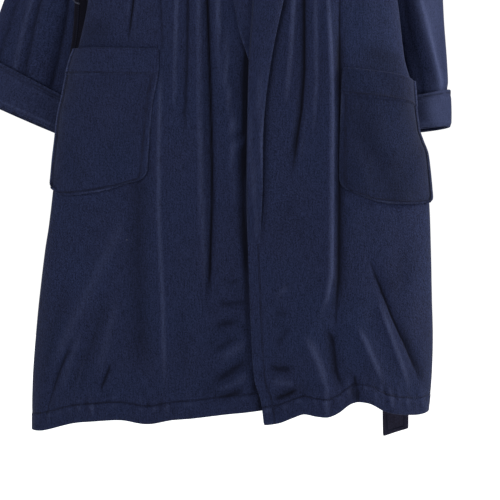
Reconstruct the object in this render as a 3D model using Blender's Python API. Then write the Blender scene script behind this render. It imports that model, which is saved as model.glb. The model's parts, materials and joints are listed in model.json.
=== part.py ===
"""A bathrobe of pile fabric, spread as it hangs from the loop at its neck.

Every cloth piece is a thin closed solid of its own. The frame is in metres with +Z up and the front
of the robe towards -Y. The origin is the underside of the hanging loop's top run, where a hook holds
the robe, so the robe itself lies below it. Left and right are the wearer's: left is +X. The shapes are
worked out with y = 0 on the side seams, and each finished piece is moved so that the loop stands at y = 0.
"""

import math

import bpy
from mathutils import Vector

# Cloth and clearances
CLOTH = 0.003  # thickness of one layer of the pile fabric
SEAM_GAP = 0.001  # what pieces that are sewn together keep between them
LAYER = 0.0045  # spacing of the middles of two layers that lie on each other

# Lengths of the garment
LOOP_SEAT_Z = 0.0
NECK_SIDE_Z = -0.035  # the highest point of the shoulder seam, beside the neck
BACK_NECK_DROP = 0.022
SHOULDER_END_Z = -0.085
UNDERARM_Z = -0.30
WAIST_Z = -0.43  # middle of the belt
SPLIT_Z = -0.45  # where a front panel starts to swing
HEM_Z = -1.135
NECK_HALF = 0.085
SHOULDER_HALF = 0.232

# The body is a flattened tube. Each list holds (height, value), from the hem up.
HALF_WIDTH = ((HEM_Z, 0.322), (-0.95, 0.312), (-0.78, 0.299), (-0.68, 0.289), (-0.60, 0.275),
              (-0.53, 0.258), (-0.45, 0.243), (UNDERARM_Z, 0.237), (-0.18, 0.238), (0.0, 0.240))
FRONT_DEPTH = ((HEM_Z, 0.100), (-0.80, 0.086), (-0.45, 0.068), (UNDERARM_Z, 0.062), (0.0, 0.055))
BACK_DEPTH = ((HEM_Z, 0.078), (-0.80, 0.062), (-0.45, 0.045), (UNDERARM_Z, 0.050), (0.0, 0.052))
ROUND_WIDTH = 2.8  # exponents of the superellipse across the body
ROUND_DEPTH = 1.9
SHOULDER_ROUND = 0.07  # height over which front and back close onto the shoulder seam
ARMHOLE_X = ((UNDERARM_Z, 0.237), (-0.27, 0.216), (-0.20, 0.206), (-0.13, 0.212), (SHOULDER_END_Z, SHOULDER_HALF))

# Free edges of the two fronts. The left one lies over the right one.
LEFT_EDGE_X = ((HEM_Z, 0.038), (-1.05, 0.030), (-0.95, 0.025), (-0.84, 0.018), (-0.70, 0.018),
               (-0.60, 0.022), (-0.42, 0.024), (-0.36, 0.033), (-0.20, 0.062), (NECK_SIDE_Z, NECK_HALF))
RIGHT_EDGE_X = ((HEM_Z, 0.066), (-0.80, 0.060), (-0.48, 0.058), (-0.44, 0.045), (-0.38, -0.010),
                (-0.34, -0.030), (-0.20, -0.062), (NECK_SIDE_Z, -NECK_HALF))
WRAP_SINK = 0.012  # how far the right front lies behind the left one where they overlap
WRAP_RAMP = (0.080, 0.100)  # the right front starts to sink at this x and has sunk fully this much further on
FACING_WIDTH = 0.067

# Patch pockets: heights of their inner and outer ends, and where their inner edge runs
POCKET_CORNER = 0.028
POCKET_SWELL = 0.016  # how far the pocket's mouth stands open
POCKET_BAND = 0.042
POCKETS = {
    "left": {"inner_x": 0.174, "top": (-0.572, -0.588), "bottom": (-0.785, -0.781)},
    "right": {"inner_x": 0.130, "top": (-0.545, -0.543), "bottom": (-0.774, -0.768)},
}
POCKET_OUTER_ANGLE = 0.16  # where a pocket's outer edge lies, round the side of the body

# Sleeves: the outer and the inner fold line from the armhole to the wrist, on the +X side
SLEEVE_STATIONS = (0.0, 0.15, 0.3, 0.5, 0.75, 1.0)
SLEEVES = {
    "left": {
        "outer": ((0.2375, 0.0, -0.0855), (0.277, 0.006, -0.170), (0.305, 0.022, -0.262), (0.336, 0.052, -0.375),
                  (0.353, 0.080, -0.512), (0.359, 0.088, -0.655)),
        "inner": ((0.2435, 0.0, -0.3035), (0.250, 0.020, -0.345), (0.240, 0.052, -0.392), (0.212, 0.092, -0.468),
                  (0.196, 0.120, -0.566), (0.192, 0.132, -0.668)),
    },
    "right": {
        "outer": ((0.2375, 0.0, -0.0855), (0.274, 0.012, -0.165), (0.300, 0.036, -0.245), (0.330, 0.066, -0.345),
                  (0.372, 0.092, -0.463), (0.430, 0.100, -0.598)),
        "inner": ((0.2435, 0.0, -0.3035), (0.252, 0.016, -0.338), (0.246, 0.044, -0.378), (0.222, 0.072, -0.440),
                  (0.232, 0.088, -0.560), (0.265, 0.096, -0.670)),
    },
}
SLEEVE_HALF_DEPTH = (0.034, 0.036, 0.036, 0.031, 0.030, 0.032)
SLEEVE_RINGS = 12
SLEEVE_SIDES = 24
CUFF_START = 0.875  # share of the sleeve's length where the turned-back cuff begins
CUFF_STAND_OFF = 0.0052

# Belt, its loops and the hanging loop
BELT_WIDTH = 0.040
BELT_THICK = 0.004
BELT_X = ((-1.17, 0.272), (-0.72, 0.272), (-0.60, 0.262), (-0.50, 0.250), (-0.40, 0.246))  # middle of each hanging end
BELT_TOP_Z = -0.426
BELT_END_Z = {"left": -1.161, "right": -1.098}
BELT_Y = ((-1.17, 0.089), (-1.10, 0.085), (-0.80, 0.069), (-0.60, 0.0530), (-0.50, 0.0420), (-0.44, 0.0340), (-0.40, 0.0290))
BELT_LOOP_WIDTH = 0.008
BELT_LOOP_THICK = 0.0016
BELT_LOOP_HALF = 0.029
BELT_LOOP_REACH = 0.0115
HANG_LOOP_HALF = 0.030
HANG_LOOP_WIDTH = 0.010
HANG_LOOP_THICK = 0.0025
HANG_LOOP_Y = 0.036  # from the side seams back to the loop
HANG_LOOP_FOOT_Y = 0.0375
NECK_TAPE_WIDTH = 0.014
NECK_TAPE_TOP = 0.008
LABEL_WIDTH = 0.060
LABEL_HEIGHT = 0.034
LABEL_THICK = 0.0008

# Joints: the end of the shoulder seam, and a point of the line along the side seam that a front swings about
SLEEVE_PIVOT = (0.2375, -0.0855)
SKIRT_PIVOT = (0.276, -0.45)

# Shawl collar, from the middle of the back neck to where the fronts cross: the line it rolls over and its free edge
COLLAR_ROLL = ((0.000, 0.064, -0.026), (0.045, 0.057, -0.023), (0.084, 0.022, -0.016), (0.095, -0.016, -0.030),
               (0.087, -0.046, -0.075), (0.067, -0.068, -0.19), (0.043, -0.073, -0.30), (0.032, -0.076, -0.40))
COLLAR_EDGE = ((0.000, 0.083, -0.104), (0.086, 0.074, -0.103), (0.150, 0.028, -0.070), (0.163, -0.026, -0.084),
               (0.163, -0.060, -0.135), (0.142, -0.072, -0.22), (0.096, -0.076, -0.32), (0.052, -0.077, -0.405))
COLLAR_STAND = (0.028, 0.026, 0.012, 0.004, 0.003, 0.003, 0.003, 0.003)
COLLAR_THICK = 0.005
COLLAR_CLEARANCE = 0.0085  # from the middle of the body's cloth to the middle of the collar
RIGHT_COLLAR_END = 6.75  # the right half ends above the crossing, in steps along those lists

NAVY = (0.017, 0.021, 0.062)
NAVY_TAPE = (0.010, 0.012, 0.034)
LABEL_WHITE = (0.55, 0.56, 0.58)

MATERIALS = {}


def clear_scene():
    for obj in list(bpy.data.objects):
        bpy.data.objects.remove(obj)


def material(name, colour, roughness):
    if name not in MATERIALS:
        made = bpy.data.materials.new(name)
        made.use_nodes = True
        shader = made.node_tree.nodes["Principled BSDF"]
        shader.inputs["Base Color"].default_value = (*colour, 1)
        shader.inputs["Roughness"].default_value = roughness
        shader.inputs["Metallic"].default_value = 0.0
        MATERIALS[name] = made
    return MATERIALS[name]


def pile():
    return material("pile_fabric", NAVY, 0.95)


def smooth(stations, at):
    """A smooth curve through (place, value) stations in rising order, level past its ends."""
    if at <= stations[0][0]:
        return stations[0][1]
    if at >= stations[-1][0]:
        return stations[-1][1]
    k = max(i for i, (place, _) in enumerate(stations) if place <= at)
    k = min(k, len(stations) - 2)

    def slope(i):
        low, high = max(i - 1, 0), min(i + 1, len(stations) - 1)
        return (stations[high][1] - stations[low][1]) / (stations[high][0] - stations[low][0])

    (p0, v0), (p1, v1) = stations[k], stations[k + 1]
    span = p1 - p0
    t = (at - p0) / span
    return ((2 * t**3 - 3 * t**2 + 1) * v0 + (t**3 - 2 * t**2 + t) * span * slope(k)
            + (3 * t**2 - 2 * t**3) * v1 + (t**3 - t**2) * span * slope(k + 1))


def ease(t):
    t = min(1.0, max(0.0, t))
    return t * t * (3 - 2 * t)


def shoulder_line(x):
    """Height of the shoulder seam, carried on over the neck."""
    return NECK_SIDE_Z - (abs(x) - NECK_HALF) * (NECK_SIDE_Z - SHOULDER_END_Z) / (SHOULDER_HALF - NECK_HALF)


def back_top(x):
    """Upper edge of the back: the shoulder seam, and the shallow neckline between the shoulders."""
    if abs(x) >= NECK_HALF:
        return shoulder_line(x)
    return NECK_SIDE_Z - BACK_NECK_DROP * (1 - (x / NECK_HALF) ** 2)


def shell(angle, z, front, sink=0.0):
    """A point of the body's surface. The angle is 0 at the side seam and a quarter turn at the middle."""
    half = smooth(HALF_WIDTH, z)
    depth = smooth(FRONT_DEPTH if front else BACK_DEPTH, z) - sink
    cos, sin = math.cos(angle), math.sin(angle)
    x = math.copysign(half * abs(cos) ** (2 / ROUND_WIDTH), cos)
    below = max(0.0, min(1.0, (shoulder_line(x) - z) / SHOULDER_ROUND))
    y = depth * abs(sin) ** (2 / ROUND_DEPTH) * math.sqrt(1 - (1 - below) ** 2)
    return Vector((x, -y if front else y, z))


def outward(angle, z, front):
    """The level direction that points straight out of the body there."""
    ahead = shell(angle + 0.01, z, front) - shell(angle - 0.01, z, front)
    way = Vector((ahead.y, -ahead.x, 0.0)).normalized()
    return way if (way.y < 0) == front else -way


def angle_at(x, z):
    """The shell's angle where it is x from the middle plane."""
    share = max(-1.0, min(1.0, x / smooth(HALF_WIDTH, z)))
    return math.acos(math.copysign(abs(share) ** (ROUND_WIDTH / 2), share))


def side_angle(z):
    """The angle of a body panel's outer edge: the side seam, or the armhole above it."""
    return angle_at(smooth(ARMHOLE_X, z), z) if z > UNDERARM_Z else 0.0


def sheet(name, rows, thick, offset=0.0, ring=False):
    """A cloth solid: the grid of points in rows, thickened by Solidify. A ring closes each row on itself."""
    columns = len(rows[0])
    points = [p for row in rows for p in row]
    faces = []
    for r in range(len(rows) - 1):
        for c in range(columns if ring else columns - 1):
            after = (c + 1) % columns
            faces.append((r * columns + c, r * columns + after, (r + 1) * columns + after, (r + 1) * columns + c))
    mesh = bpy.data.meshes.new(name)
    mesh.from_pydata(points, [], faces)
    mesh.shade_smooth()
    obj = bpy.data.objects.new(name, mesh)
    bpy.context.scene.collection.objects.link(obj)
    solid = obj.modifiers.new("Solidify", "SOLIDIFY")
    solid.thickness = thick
    solid.offset = offset
    solid.use_even_offset = True
    return obj


def mirrored(rows):
    return [[Vector((-p.x, p.y, p.z)) for p in row] for row in rows]


def spaced(low, high, count):
    return [low + (high - low) * i / (count - 1) for i in range(count)]


def front_rows(side, low_z, high_z, row_count, column_count, sink=0.0, from_edge=0.0, to_edge=None):
    """Points of a front panel, or of a strip along its free edge, from low_z up to high_z or the shoulder."""
    left = side == "left"
    rows = []
    for height in [1 - (1 - t) ** (1.0 if high_z < 0 else 1.5) for t in spaced(0.0, 1.0, row_count)]:
        row = []
        for across in spaced(0.0, 1.0, column_count):
            z = low_z + (high_z - low_z) * height
            for _ in range(3):
                edge_x = smooth(LEFT_EDGE_X, z) if left else -smooth(RIGHT_EDGE_X, z)
                start = angle_at(edge_x + from_edge, z)
                if to_edge is None:
                    seam = SEAM_GAP / smooth(FRONT_DEPTH, z)
                    end = side_angle(z) + seam
                else:
                    end = angle_at(edge_x + to_edge, z)
                angle = start + (end - start) * across
                wrap = 0.0 if left else WRAP_SINK * ease((WRAP_RAMP[0] - shell(angle, z, True).x) / WRAP_RAMP[1])
                point = shell(angle, z, True, sink + wrap)
                top = min(high_z, shoulder_line(point.x) - 0.5 * SEAM_GAP)
                z = low_z + (top - low_z) * height
            row.append(point)
        rows.append(row)
    return rows if left else mirrored(rows)


def make_front(side):
    name = f"front_{side}_bodice"
    sheet(name, front_rows(side, SPLIT_Z + SEAM_GAP, 0.0, 12, 15), CLOTH).data.materials.append(pile())
    name = f"front_{side}_skirt"
    sheet(name, front_rows(side, HEM_Z, SPLIT_Z - SEAM_GAP, 15, 19), CLOTH).data.materials.append(pile())
    rows = front_rows(side, HEM_Z + 0.004, SPLIT_Z - SEAM_GAP, 12, 5, LAYER, 0.003, FACING_WIDTH)
    sheet(f"front_facing_{side}", rows, CLOTH).data.materials.append(pile())


def make_back():
    rows = []
    for height in [1 - (1 - t) ** 1.5 for t in spaced(0.0, 1.0, 26)]:
        row = []
        for across in spaced(-1.0, 1.0, 33):
            z = HEM_Z + (NECK_SIDE_Z - HEM_Z) * height
            for _ in range(3):
                start = side_angle(z) + SEAM_GAP / smooth(BACK_DEPTH, z)
                angle = math.pi / 2 - (math.pi / 2 - start) * abs(across)
                point = shell(angle, z, False)
                point.x = math.copysign(point.x, across)
                z = HEM_Z + (back_top(point.x) - 0.5 * SEAM_GAP - HEM_Z) * height
            row.append(point)
        rows.append(row)
    sheet("back_panel", rows, CLOTH).data.materials.append(pile())


def pocket_rows(side, shares, column_count, stand_off):
    """Points of a patch pocket at these shares of its height, 0 at its bottom seam and 1 at its mouth."""
    cut = POCKETS[side]
    rows = []
    for share in shares:
        row = []
        for across in spaced(0.0, 1.0, column_count):
            top = cut["top"][0] + (cut["top"][1] - cut["top"][0]) * across
            bottom = cut["bottom"][0] + (cut["bottom"][1] - cut["bottom"][0]) * across
            z = bottom + (top - bottom) * share
            above = z - bottom
            inset = 0.0
            if above < POCKET_CORNER - 1e-9:
                inset = POCKET_CORNER - math.sqrt(POCKET_CORNER**2 - (POCKET_CORNER - above) ** 2)
            start = angle_at(cut["inner_x"] + inset, z)
            end = POCKET_OUTER_ANGLE + inset / smooth(FRONT_DEPTH, z)
            angle = start + (end - start) * across
            swell = POCKET_SWELL * math.sin(math.pi * across) * ease(share * 1.25) ** 0.7
            row.append(shell(angle, z, True) + outward(angle, z, True) * (stand_off + swell))
        rows.append(row)
    return rows if side == "left" else mirrored(rows)


def make_pocket(side):
    cut = POCKETS[side]
    band = 1 - POCKET_BAND / (cut["top"][0] - cut["bottom"][0])
    gap = 0.5 * SEAM_GAP / (cut["top"][0] - cut["bottom"][0])
    stand_off = CLOTH + 1.5 * SEAM_GAP
    corner = POCKET_CORNER / (cut["top"][0] - cut["bottom"][0])
    shares = [corner * (1 - math.cos(math.pi / 2 * k / 5)) for k in range(5)] + spaced(corner, band - gap, 9)
    rows = pocket_rows(side, shares, 15, stand_off)
    sheet(f"pocket_{side}", rows, CLOTH).data.materials.append(pile())
    rows = pocket_rows(side, spaced(band + gap, 1.0, 4), 15, stand_off)
    sheet(f"pocket_band_{side}", rows, CLOTH).data.materials.append(pile())


def armhole_point(turn):
    """A point of the armhole edge. The turn is 0 at the shoulder and runs down the front to the underarm."""
    middle = (SHOULDER_END_Z + UNDERARM_Z) / 2
    z = middle + (SHOULDER_END_Z - UNDERARM_Z) / 2 * math.cos(turn)
    x = min(smooth(ARMHOLE_X, z), smooth(HALF_WIDTH, z))
    return shell(angle_at(x, z), z, math.sin(turn) >= 0)


def sleeve_fold(side, fold, share):
    points = SLEEVES[side][fold]
    return Vector([smooth(tuple(zip(SLEEVE_STATIONS, [p[i] for p in points])), share) for i in range(3)])


def sleeve_point(side, share, turn, grow=0.0):
    """A point of a sleeve's surface, share 0 at the armhole and 1 at the wrist, on the +X side."""

    def middle(at):
        return (sleeve_fold(side, "outer", at) + sleeve_fold(side, "inner", at)) / 2

    wide = (sleeve_fold(side, "outer", share) - sleeve_fold(side, "inner", share)) / 2
    deep = (middle(min(1.0, share + 0.02)) - middle(max(0.0, share - 0.02))).cross(wide).normalized()
    if deep.y < 0:
        deep.negate()
    half_depth = smooth(tuple(zip(SLEEVE_STATIONS, SLEEVE_HALF_DEPTH)), share) + grow
    ring = middle(share) + wide * (1 + grow / wide.length) * math.cos(turn) - deep * half_depth * math.sin(turn)
    blend = ease(share / 0.2)
    start = armhole_point(turn) + Vector((2.0 * SEAM_GAP + CLOTH / 2, 0, 0))
    return start.lerp(ring, blend) if blend < 1 else ring


def make_sleeve(side):
    def rows(low, high, count, grow):
        found = []
        for share in spaced(low, high, count):
            found.append([sleeve_point(side, share, 2 * math.pi * c / SLEEVE_SIDES, grow)
                          for c in range(SLEEVE_SIDES)])
        return found if side == "left" else mirrored(found)

    sheet(f"sleeve_{side}", rows(0.0, 1.0, SLEEVE_RINGS, 0.0), CLOTH, ring=True).data.materials.append(pile())
    cuff = sheet(f"cuff_{side}", rows(CUFF_START, 0.992, 4, CUFF_STAND_OFF), CLOTH, ring=True)
    cuff.data.materials.append(pile())


def collar_section(step):
    """The collar's cut across at a place along its length: the seam end, the roll and the free edge."""
    k = min(int(step), len(COLLAR_ROLL) - 2)

    def between(points):
        places = range(len(points))
        return Vector([smooth(tuple(zip(places, [p[i] for p in points])), step) for i in range(3)])

    roll = between(COLLAR_ROLL)
    edge = between(COLLAR_EDGE)
    stand = COLLAR_STAND[k] + (COLLAR_STAND[k + 1] - COLLAR_STAND[k]) * (step - k)
    back_share = ease(1 - step / 3)
    seam = roll + Vector((-0.3 * stand * min(1.0, step), -0.006 * back_share, -stand))
    return seam, roll, edge


def clear_of_body(point, gap):
    """Moves a point that is inside the body, or nearer than the gap, straight out to it."""
    x = min(abs(point.x), SHOULDER_HALF)
    front = point.y < 0
    middle_z = shoulder_line(x) - SHOULDER_ROUND
    if point.z >= middle_z:
        reach_y = abs(shell(angle_at(x, middle_z), middle_z, front).y) + gap
        reach_z = SHOULDER_ROUND + gap
        share = math.hypot(point.y / reach_y, (point.z - middle_z) / reach_z)
        if share < 1:
            point.y /= share
            point.z = middle_z + (point.z - middle_z) / share
        return
    reach = abs(shell(angle_at(x, point.z), point.z, front).y) + gap
    if abs(point.y) < reach:
        point.y = -reach if front else reach


def make_collar(side):
    end = 7.0 if side == "left" else RIGHT_COLLAR_END
    rows = []
    for step in spaced(0.0, end, 25):
        seam, roll, edge = collar_section(step)
        if step > 2.5:
            clear_of_body(roll, COLLAR_CLEARANCE)
            clear_of_body(seam, COLLAR_CLEARANCE - 0.001)
        row = [seam, roll]
        for share in (0.12, 0.34, 0.56, 0.78, 1.0):
            point = roll.lerp(edge, share)
            point.z += 0.006 * math.sin(math.pi * share) * ease(1 - step / 4)
            clear_of_body(point, COLLAR_CLEARANCE)
            row.append(point)
        if step == 0.0:
            for point in row:
                point.x += SEAM_GAP
        rows.append(row)
    if side == "right":
        rows = mirrored(rows)
    sheet(f"collar_{side}", rows, COLLAR_THICK).data.materials.append(pile())


def strap(name, middles, widths_along, width, thick, mat):
    """A flat strap: its middle line, and for each point the direction of its width."""
    rows = []
    for middle, way in zip(middles, widths_along):
        half = Vector(way).normalized() * width / 2
        rows.append([Vector(middle) - half, Vector(middle), Vector(middle) + half])
    made = sheet(name, rows, thick)
    made.data.materials.append(mat)
    return made


def make_belt():
    """The sash: its run across the back and the two ends that hang behind the side seams."""
    angles = spaced(0.03, math.pi - 0.03, 21)
    middles = []
    for angle in angles:
        middles.append(shell(angle, WAIST_Z, False) + outward(angle, WAIST_Z, False) * 0.0078)
    strap("belt_back", middles, [(0, 0, 1)] * len(middles), BELT_WIDTH, BELT_THICK, pile())
    for side, sign in (("left", 1), ("right", -1)):
        heights = spaced(BELT_TOP_Z, BELT_END_Z[side], 16)
        middles = [(sign * smooth(BELT_X, z), smooth(BELT_Y, z), z) for z in heights]
        strap(f"belt_end_{side}", middles, [(1, 0, 0)] * len(middles), BELT_WIDTH, BELT_THICK, pile())


def make_belt_loop(side):
    sign = 1 if side == "left" else -1
    outline = ((0.0, BELT_LOOP_HALF), (0.6, BELT_LOOP_HALF - 0.002), (1.0, BELT_LOOP_HALF - 0.007),
               (1.0, 0.0), (1.0, -BELT_LOOP_HALF + 0.007), (0.6, -BELT_LOOP_HALF + 0.002), (0.0, -BELT_LOOP_HALF))
    base = CLOTH / 2 + 1.5 * SEAM_GAP
    middles = [(sign * (smooth(HALF_WIDTH, WAIST_Z + rise) + base + reach * BELT_LOOP_REACH), 0.004, WAIST_Z + rise)
               for reach, rise in outline]
    tape = material("twill_tape", NAVY_TAPE, 0.8)
    strap(f"belt_loop_{side}", middles, [(0, 1, 0)] * len(middles), BELT_LOOP_WIDTH, BELT_LOOP_THICK, tape)


def make_hang_loop():
    """A tape loop whose top run has a flat underside at the origin, its feet on the neck tape."""
    bend = 0.008
    half = HANG_LOOP_HALF
    top = LOOP_SEAT_Z + HANG_LOOP_THICK / 2
    rise = [(half, HANG_LOOP_FOOT_Y, -0.068), (half, HANG_LOOP_Y, -0.050), (half, HANG_LOOP_Y, top - bend),
            (half - 0.3 * bend, HANG_LOOP_Y, top - 0.3 * bend), (half - bend, HANG_LOOP_Y, top)]
    middles = [(-x, y, z) for x, y, z in rise] + rise[::-1]
    tape = material("twill_tape", NAVY_TAPE, 0.8)
    strap("hang_loop", middles, [(0, 1, 0)] * len(middles), HANG_LOOP_WIDTH, HANG_LOOP_THICK, tape)


def inside_back(x, z, depth):
    """A point this far inside the middle of the back panel's cloth."""
    angle = angle_at(abs(x), z)
    here = shell(angle, z, False)
    up = shell(angle_at(abs(x), z + 0.002), z + 0.002, False) - shell(angle_at(abs(x), z - 0.002), z - 0.002, False)
    across = shell(angle - 0.01, z, False) - shell(angle + 0.01, z, False)
    inward = up.cross(across).normalized()
    if inward.y > 0:
        inward.negate()
    point = here + inward * depth
    point.x = math.copysign(point.x, x) if x else 0.0
    return point


def make_neck_trim():
    """The tape that covers the neck seam inside the back, and the plain woven label below it."""
    tape = material("twill_tape", NAVY_TAPE, 0.8)
    rows = []
    for x in spaced(-0.066, 0.066, 17):
        rows.append([inside_back(x, back_top(x) - NECK_TAPE_TOP - NECK_TAPE_WIDTH * share, 0.0042)
                     for share in (0.0, 0.5, 1.0)])
    sheet("neck_tape", rows, 0.001).data.materials.append(tape)
    label_top = back_top(0) - NECK_TAPE_TOP - NECK_TAPE_WIDTH - 0.003
    rows = []
    for x in spaced(-LABEL_WIDTH / 2, LABEL_WIDTH / 2, 9):
        rows.append([inside_back(x, label_top - LABEL_HEIGHT * share, 0.0034) for share in (0.0, 0.33, 0.67, 1.0)])
    white = material("label_satin", LABEL_WHITE, 0.5)
    sheet("neck_label", rows, LABEL_THICK).data.materials.append(white)


def set_pivot(name, pivot):
    """Puts a piece's origin at the pivot without moving the piece."""
    obj = bpy.data.objects[name]
    for vertex in obj.data.vertices:
        vertex.co -= Vector(pivot)
    obj.location = Vector(pivot)


def place():
    """Origins of the moving pieces on their joint axes, and the whole robe under its loop."""
    for side, sign in (("left", 1), ("right", -1)):
        for name in (f"sleeve_{side}", f"cuff_{side}"):
            set_pivot(name, (sign * SLEEVE_PIVOT[0], 0.0, SLEEVE_PIVOT[1]))
        for name in (f"front_{side}_skirt", f"front_facing_{side}", f"pocket_{side}", f"pocket_band_{side}"):
            set_pivot(name, (sign * SKIRT_PIVOT[0], 0.0, SKIRT_PIVOT[1]))
        set_pivot(f"belt_end_{side}", (sign * smooth(BELT_X, BELT_TOP_Z), smooth(BELT_Y, BELT_TOP_Z), BELT_TOP_Z))
    for obj in bpy.data.objects:
        obj.location.y -= HANG_LOOP_Y


def build():
    clear_scene()
    make_back()
    for side in ("left", "right"):
        make_front(side)
        make_pocket(side)
        make_sleeve(side)
        make_collar(side)
        make_belt_loop(side)
    make_belt()
    make_hang_loop()
    make_neck_trim()
    place()


build()
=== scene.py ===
"""The look of the bathrobe: the frame's cloth pieces are rebuilt here as fine cloth surfaces, and its tapes and label
are given woven cloth.
"""

import bpy
import json
import math

import numpy as np
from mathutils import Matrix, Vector


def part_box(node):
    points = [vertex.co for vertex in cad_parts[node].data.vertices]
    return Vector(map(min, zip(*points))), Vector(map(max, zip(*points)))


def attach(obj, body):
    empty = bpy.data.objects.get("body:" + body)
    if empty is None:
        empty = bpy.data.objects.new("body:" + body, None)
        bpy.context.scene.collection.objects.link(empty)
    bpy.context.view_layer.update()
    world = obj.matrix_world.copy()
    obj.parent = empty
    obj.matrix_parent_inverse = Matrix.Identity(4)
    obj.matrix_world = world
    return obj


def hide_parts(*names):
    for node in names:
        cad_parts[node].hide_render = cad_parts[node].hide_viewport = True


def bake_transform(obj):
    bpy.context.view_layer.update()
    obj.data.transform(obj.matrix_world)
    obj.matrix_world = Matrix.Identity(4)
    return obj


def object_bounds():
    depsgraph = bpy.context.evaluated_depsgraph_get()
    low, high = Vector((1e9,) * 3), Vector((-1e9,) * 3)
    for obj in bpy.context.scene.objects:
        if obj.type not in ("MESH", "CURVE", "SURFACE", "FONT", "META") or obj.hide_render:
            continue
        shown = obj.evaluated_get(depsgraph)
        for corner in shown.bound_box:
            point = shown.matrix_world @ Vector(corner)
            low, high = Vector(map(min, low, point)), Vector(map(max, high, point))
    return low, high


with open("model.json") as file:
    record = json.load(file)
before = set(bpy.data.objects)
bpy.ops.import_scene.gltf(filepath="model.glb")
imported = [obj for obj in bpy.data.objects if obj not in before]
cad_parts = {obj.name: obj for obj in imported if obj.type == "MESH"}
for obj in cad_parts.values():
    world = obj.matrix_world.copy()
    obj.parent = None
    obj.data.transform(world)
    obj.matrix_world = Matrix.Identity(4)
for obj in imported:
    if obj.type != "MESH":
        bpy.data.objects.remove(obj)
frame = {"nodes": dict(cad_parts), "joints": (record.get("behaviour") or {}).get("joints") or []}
cad_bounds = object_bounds()

JOINTS = {j["name"]: j for j in frame["joints"]}
SIDE_Y = JOINTS["front_left_opens"]["pos_m"][1]  # the plane of the side seams; shapes below have it at y = 0
SHOULDER = JOINTS["sleeve_left_raises"]["pos_m"]
UNDERARM_Z = -0.30
NECK_HALF, NECK_SIDE_Z = 0.085, -0.035
SHOULDER_HALF, SHOULDER_END_Z = 0.232, SHOULDER[2]
SHOULDER_ROUND = 0.07
SQUARE, POINTED = 1.4, 0.95  # how far the body's section is from an ellipse, at the sides and at the middle
CLOTH = 0.0032  # thickness
HEM_TURN = 0.026
FACING_STITCH = 0.0145
LAP = 0.0125  # how far the right front lies behind the left one
OUTLINE_STITCH = 0.0046  # from a pocket's edge
FACING_WIDTH = 0.066
SASH_HALF, SASH_END_HALF = 0.0195, 0.020
SASH_Z = -0.43


def pairs(*numbers):
    """Numbers given in mm, taken two by two and turned into metres."""
    return tuple((a / 1000, b / 1000) for a, b in zip(numbers[::2], numbers[1::2]))


# Outline of the hanging robe from hem to shoulder: height and x of the wearer's right and left side, in mm
RIGHT_SIDE = pairs(-1150, -320.5, -1108, -321.2, -1051, -319.5, -971, -313.2, -922, -308.2, -857.5, -300.3, -817,
                   -294, -756, -287, -673, -279, -599, -266, -550, -253.5, -531, -246.5, -453.5, -231, -390, -232,
                   -300, -237, -180, -238, 0, -240)
LEFT_SIDE = pairs(-1150, 313, -1112, 316.5, -1099.9, 318, -1059.5, 321.2, -1003, 322.8, -938, 321.3, -857.5, 319.7,
                  -768.6, 316.3, -704, 309, -680, 300.5, -664, 295, -586, 287, -550.5, 277.5, -453.5, 265.5, -390,
                  252, -300, 237, -180, 238, 0, 240)
# Height and depth of the body in front of the side seams and behind them
FRONT_DEPTH = pairs(-1150, 101, -800, 86, -450, 68, -300, 62, 0, 55)
BACK_DEPTH = pairs(-1150, 78, -800, 62, -450, 45, -300, 50, 0, 52)
# Height and x of the armhole seam
ARMHOLE = pairs(-300, 237, -270, 216, -200, 206, -130, 212, -85.5, 232)
# Height and x of the free edges of the fronts, and of the left lapel's free edge on the front
LEFT_EDGE = pairs(-1150, 54, -1128, 52.3, -1090.8, 47, -1060, 37.5, -982, 32.1, -857.5, 27.4, -779, 25.1, -669.5,
                  25.9, -527.5, 30.6, -464, 33.7, -420, 34.5, -360, 40, -200, 63, -35, 85)
RIGHT_EDGE = pairs(-1150, 64, -800, 60, -480, 58, -440, 45, -380, -10, -340, -30, -200, -62, -35, -85)
LAPEL = pairs(-846, 42.5, -762, 46.2, -662, 48, -565, 59, -478, 76.5, -405, 94)
# x and height of the hems
RIGHT_HEM = pairs(-330, -1145, -322.2, -1144.8, -302, -1143, -290, -1139.9, -249.4, -1128.1, -210, -1123.5, -172.3,
                  -1121.2, -129.8, -1126.8, -92.3, -1120.3, -37.8, -1115.5, 29, -1108.6, 80, -1102)
LEFT_HEM = pairs(40, -1129, 52.3, -1127.9, 75.6, -1124.9, 95, -1117.5, 113, -1111.9, 132, -1115, 150.5, -1116.2,
                 166.3, -1110.2, 188.4, -1096, 213.8, -1095.8, 237.8, -1107.9, 254, -1113.4, 275, -1116.5, 302,
                 -1117.7, 325, -1113)
BACK_HEM = pairs(-330, -1140, -250, -1121, -120, -1112, 0, -1102, 120, -1098, 200, -1090, 250, -1098, 302, -1113,
                 330, -1111)
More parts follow.
